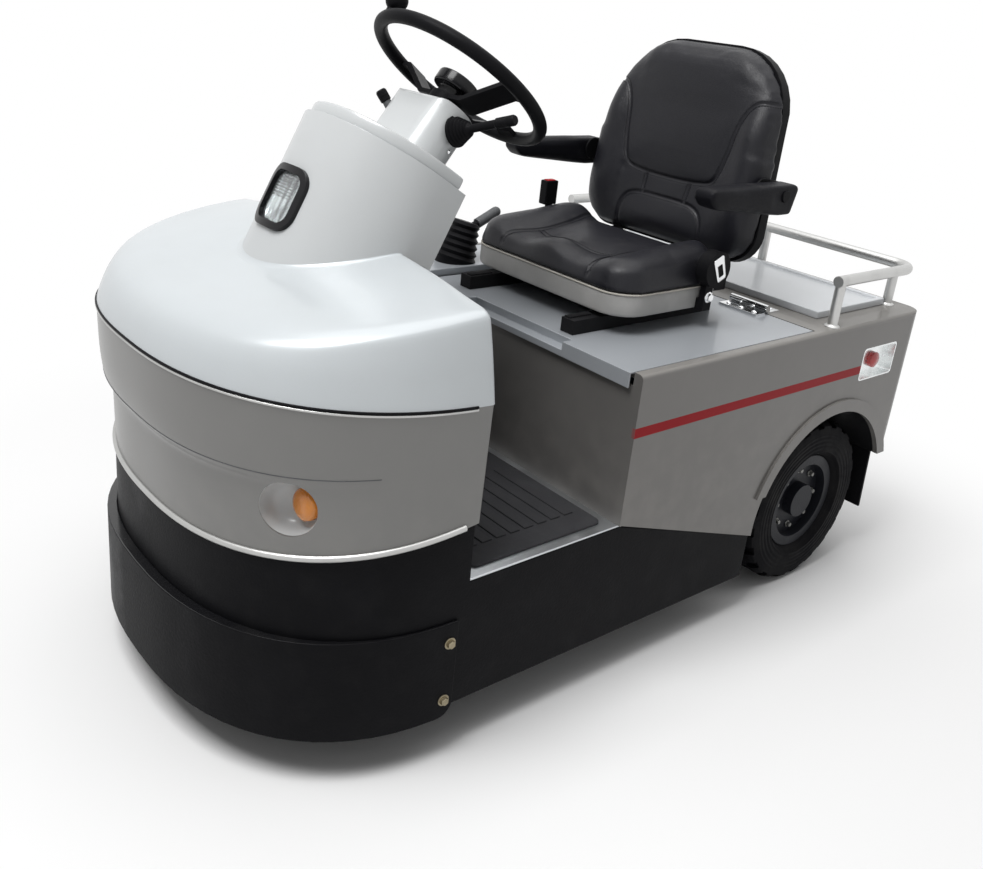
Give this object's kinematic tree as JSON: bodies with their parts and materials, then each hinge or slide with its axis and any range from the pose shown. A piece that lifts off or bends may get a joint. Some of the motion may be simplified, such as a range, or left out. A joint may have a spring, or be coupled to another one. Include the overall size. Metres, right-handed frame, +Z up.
{
  "type": "electric tow tractor",
  "caption": "Electric tow tractor with a rounded nose, a steered front wheel, a step-through floor, a seat on a lifting battery lid, a railed luggage deck and a slotted tow jaw.",
  "frame": {"origin": "on the ground, in the middle of the tractor's outline box", "axes": "+Z up, the nose faces -Y, +X is the driver's left"},
  "size_m": [0.912, 1.877, 1.2793],
  "materials": {
    "frame_paint": "satin",
    "skirt_paint": "satin",
    "bumper_rubber": "matte",
    "band_paint": "gloss",
    "silver_paint": "gloss",
    "bezel_plastic": "gloss",
    "clear_lens": "clear",
    "lamp_bowl": "bright",
    "amber_lens": "gloss",
    "red_lens": "gloss",
    "black_plastic": "matte",
    "floor_metal": "brushed",
    "mat_rubber": "ribbed",
    "body_paint": "gloss",
    "rail_metal": "satin",
    "bright_metal": "bright",
    "flap_rubber": "matte",
    "cast_black": "painted",
    "battery_case": "matte",
    "seat_vinyl": "grained",
    "seat_shell": "grained",
    "pan_plastic": "matte",
    "rim_paint": "satin",
    "tyre_rubber": "matte"
  },
  "bodies": {
    "chassis": {"chassis_frame": "frame_paint", "chassis_skirt": "skirt_paint", "front_bumper": "bumper_rubber", "nose_band": "band_paint", "hood": "silver_paint", "column_cowl": "silver_paint", "cowl_cap": "silver_paint", "column_neck": "silver_paint", "headlamp_bezel": "bezel_plastic", "headlamp_lens": "clear_lens", "indicator_bowls": "lamp_bowl", "indicator_lenses": "amber_lens", "dash_panel": "black_plastic", "pedals": "black_plastic", "floor_plate": "floor_metal", "floor_mat": "mat_rubber", "rear_body": "body_paint", "wheel_houses": "black_plastic", "tail_lamp_housings": "lamp_bowl", "tail_lamp_lenses": "red_lens", "luggage_deck": "silver_paint", "rear_rail": "rail_metal", "deck_hinges": "bright_metal", "mudflaps": "flap_rubber", "rear_axle": "cast_black", "battery": "battery_case", "tow_jaw": "cast_black", "brake_console": "silver_paint", "brake_lever": "black_plastic", "column_stalks": "black_plastic"},
    "lid": {"battery_lid": "body_paint", "lid_hinges": "bright_metal", "seat_rails": "frame_paint", "seat_pan": "pan_plastic", "seat_cushion": "seat_vinyl", "backrest_shell": "seat_shell", "backrest_cushion": "seat_vinyl", "belt_retractor": "black_plastic", "belt_buckle": "black_plastic"},
    "armrest_left": {"armrest_left": "seat_vinyl"},
    "armrest_right": {"armrest_right": "seat_vinyl"},
    "steering_wheel": {"steering_wheel": "black_plastic", "horn_button": "bezel_plastic"},
    "fork": {"steering_fork": "cast_black"},
    "front_wheel": {"front_rim": "rim_paint", "front_tyre": "tyre_rubber"},
    "rear_wheel_left": {"rear_rim_left": "rim_paint", "rear_tyre_left": "tyre_rubber"},
    "rear_wheel_right": {"rear_rim_right": "rim_paint", "rear_tyre_right": "tyre_rubber"}
  },
  "joints": [
    {"name": "lid_hinge", "type": "hinge", "parent": "chassis", "child": "lid", "pos_m": [0, 0.409, 0.681], "axis": [-1, 0, 0], "range_deg": [0, 50]},
    {"name": "armrest_left_fold", "type": "hinge", "parent": "lid", "child": "armrest_left", "pos_m": [0.33, 0.3076, 0.95359], "axis": [-1, 0, 0], "range_deg": [0, 90]},
    {"name": "armrest_right_fold", "type": "hinge", "parent": "lid", "child": "armrest_right", "pos_m": [-0.246, 0.3076, 0.95359], "axis": [-1, 0, 0], "range_deg": [0, 90]},
    {"name": "fork_steer", "type": "hinge", "parent": "chassis", "child": "fork", "pos_m": [0, -0.6915, 0.412], "axis": [0, 0, 1], "range_deg": [-75, 75]},
    {"name": "steering_wheel_turn", "type": "hinge", "parent": "chassis", "child": "steering_wheel", "pos_m": [0, -0.2895, 1.128], "axis": [0, 0.6018, 0.7986], "range_deg": [-600, 600]},
    {"name": "front_wheel_spin", "type": "hinge", "parent": "fork", "child": "front_wheel", "pos_m": [0, -0.6915, 0.19], "axis": [1, 0, 0], "continuous": true},
    {"name": "rear_wheel_left_spin", "type": "hinge", "parent": "chassis", "child": "rear_wheel_left", "pos_m": [0.371, 0.5435, 0.2075], "axis": [1, 0, 0], "continuous": true},
    {"name": "rear_wheel_right_spin", "type": "hinge", "parent": "chassis", "child": "rear_wheel_right", "pos_m": [-0.371, 0.5435, 0.2075], "axis": [1, 0, 0], "continuous": true}
  ],
  "couplings": [
    {"joint": "steering_wheel_turn", "follows": "fork_steer", "ratio": 8}
  ]
}
